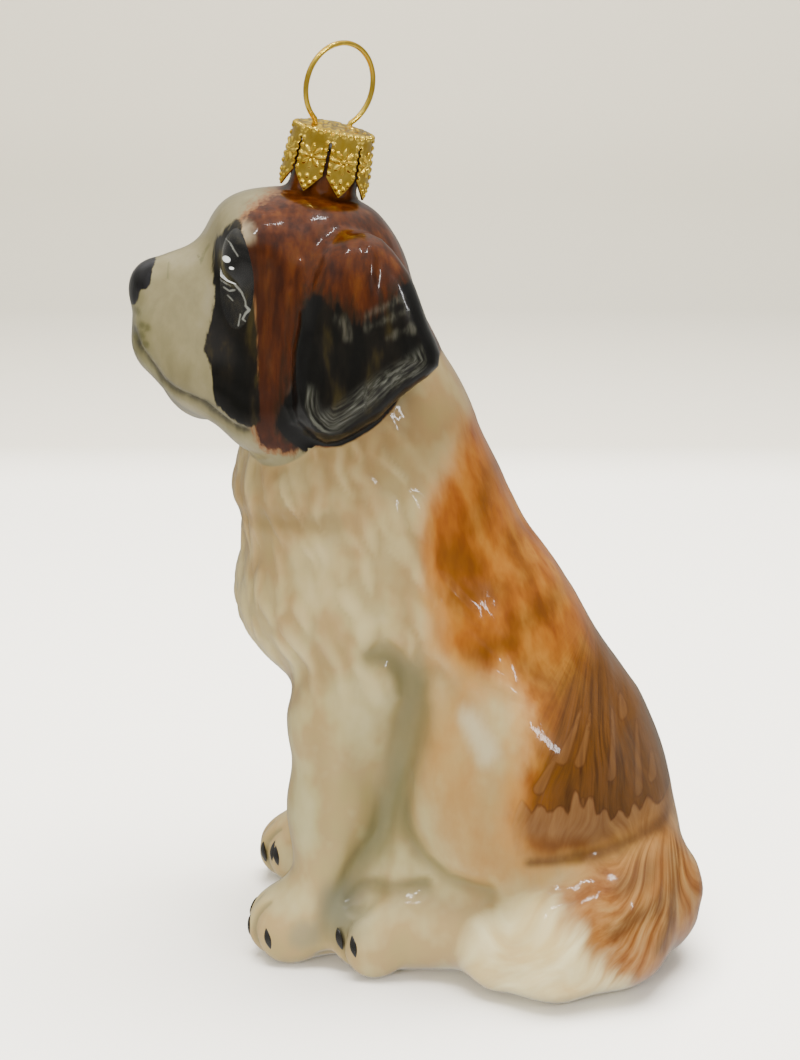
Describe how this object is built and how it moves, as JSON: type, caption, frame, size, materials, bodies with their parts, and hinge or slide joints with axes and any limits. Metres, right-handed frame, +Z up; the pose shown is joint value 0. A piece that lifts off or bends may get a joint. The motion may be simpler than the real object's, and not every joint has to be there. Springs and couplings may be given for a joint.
{
  "type": "blown glass dog ornament",
  "caption": "A mouth-blown, hand-painted glass ornament: a sitting Saint Bernard with a stamped gilt cap and a wire hanging ring on its crown",
  "frame": {"origin": "On the floor, under the centre of the bounding box", "axes": "+Z up, the dog looks along -Y, its left side is +X"},
  "size_m": [0.0596, 0.0798, 0.1269],
  "materials": {
    "rust_painted_glass": "hand-painted lacquer, rust brown, high gloss",
    "dark_painted_glass": "hand-painted lacquer, dark umber and black, high gloss",
    "black_painted_glass": "hand-painted lacquer, black, high gloss",
    "cream_painted_glass": "hand-painted lacquer, cream, high gloss",
    "collar_glass": "painted glass pipe stub",
    "gilt_cap": "thin stamped and gilt metal",
    "gilt_wire": "gilt spring wire"
  },
  "bodies": {
    "root": {"head": "rust_painted_glass", "ear_left": "dark_painted_glass", "ear_right": "dark_painted_glass", "eye_left": "black_painted_glass", "eye_right": "black_painted_glass", "nose": "black_painted_glass", "neck": "cream_painted_glass", "torso": "rust_painted_glass", "foreleg_left": "cream_painted_glass", "foreleg_right": "cream_painted_glass", "hindleg_left": "cream_painted_glass", "hindleg_right": "cream_painted_glass", "tail": "rust_painted_glass", "glass_collar": "collar_glass", "cap": "gilt_cap", "hanging_ring": "gilt_wire"}
  },
  "joints": []
}
